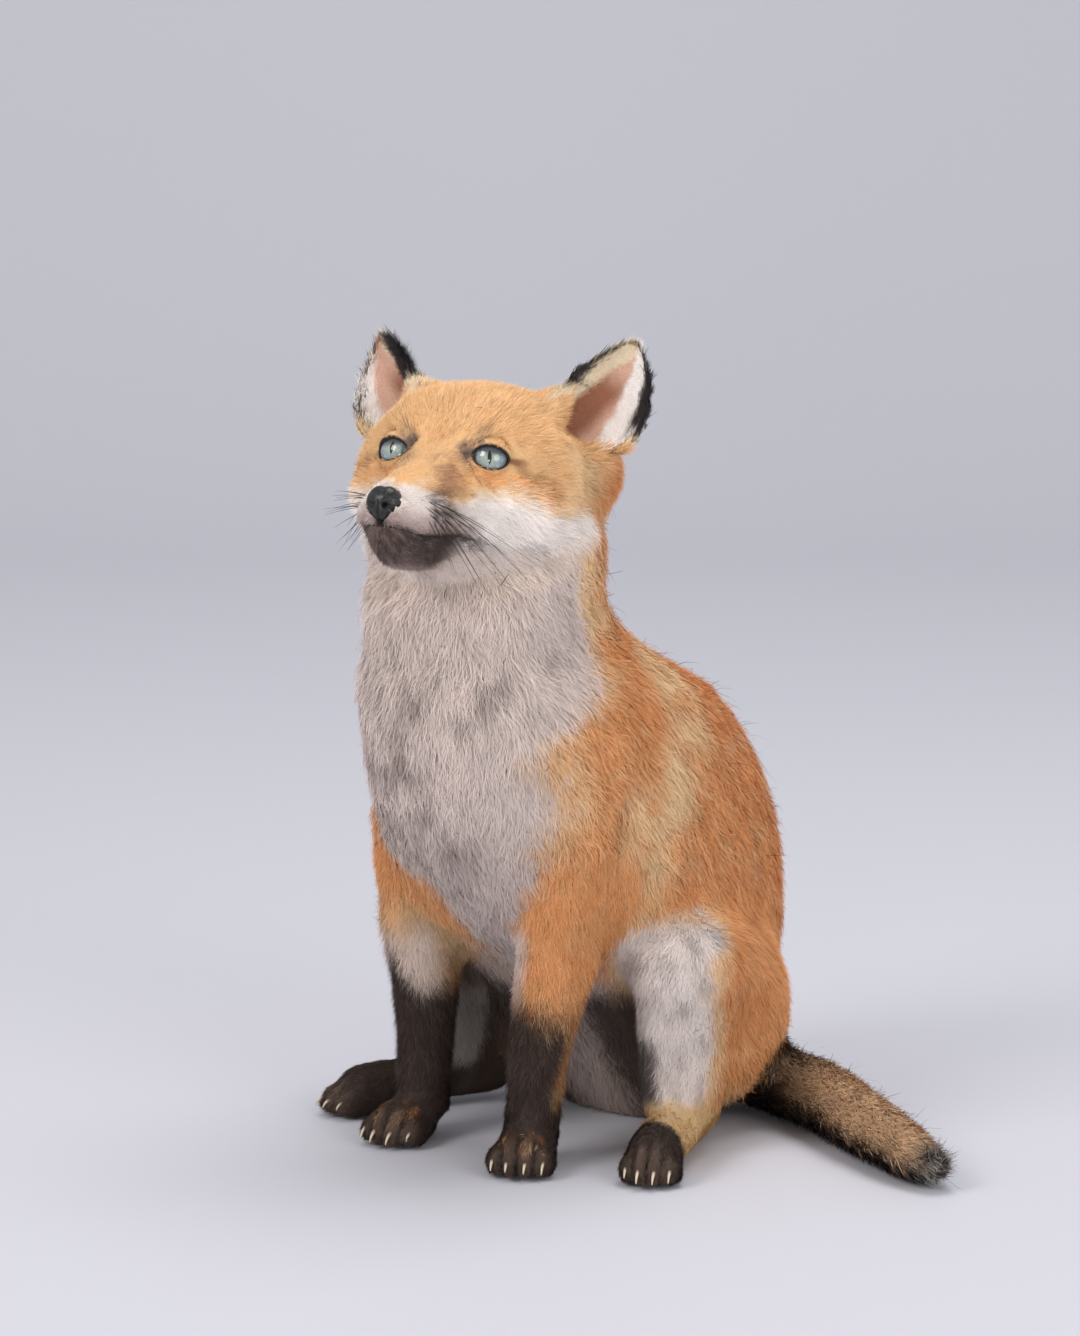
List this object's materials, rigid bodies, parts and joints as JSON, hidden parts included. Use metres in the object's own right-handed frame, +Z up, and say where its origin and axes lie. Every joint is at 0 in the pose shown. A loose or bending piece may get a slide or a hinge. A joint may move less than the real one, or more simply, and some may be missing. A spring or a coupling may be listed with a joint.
{
  "type": "taxidermy fox cub",
  "caption": "Mounted red fox cub sitting upright on its rump with straight forelegs, head lifted and turned, ears pricked and tail laid out to one side on the floor.",
  "frame": {"origin": "middle of the rump's rest on the floor", "axes": "+Z up, the cub's chest faces -Y, its left side is +X"},
  "size_m": [0.3006, 0.2603, 0.3483],
  "materials": {
    "coat": "soft fur, rust orange with dark guard hairs",
    "coat_pale": "soft fur, greyish white",
    "coat_dark": "short fur, brown black",
    "coat_tail": "fur, buff above and near black below",
    "eye": "polished glass eye with slit pupil",
    "nose": "black, finely pebbled, satin",
    "claw": "pale translucent horn"
  },
  "bodies": {
    "root": {"claw_forepaw_left_1": "claw", "claw_forepaw_left_2": "claw", "claw_forepaw_left_3": "claw", "claw_forepaw_left_4": "claw", "claw_forepaw_right_1": "claw", "claw_forepaw_right_2": "claw", "claw_forepaw_right_3": "claw", "claw_forepaw_right_4": "claw", "claw_hindpaw_left_1": "claw", "claw_hindpaw_left_2": "claw", "claw_hindpaw_left_3": "claw", "claw_hindpaw_left_4": "claw", "claw_hindpaw_right_1": "claw", "claw_hindpaw_right_2": "claw", "claw_hindpaw_right_3": "claw", "claw_hindpaw_right_4": "claw", "ear_left": "coat", "ear_right": "coat", "eye_left": "eye", "eye_right": "eye", "foreleg_left": "coat", "foreleg_right": "coat", "forepaw_left": "coat_dark", "forepaw_right": "coat_dark", "head": "coat", "hindleg_left": "coat", "hindleg_right": "coat", "hindpaw_left": "coat_dark", "hindpaw_right": "coat_dark", "lower_jaw": "coat_dark", "neck": "coat_pale", "nose_pad": "nose", "tail_middle": "coat_tail", "tail_root": "coat_tail", "tail_tip": "coat_tail", "trunk": "coat"}
  },
  "joints": []
}
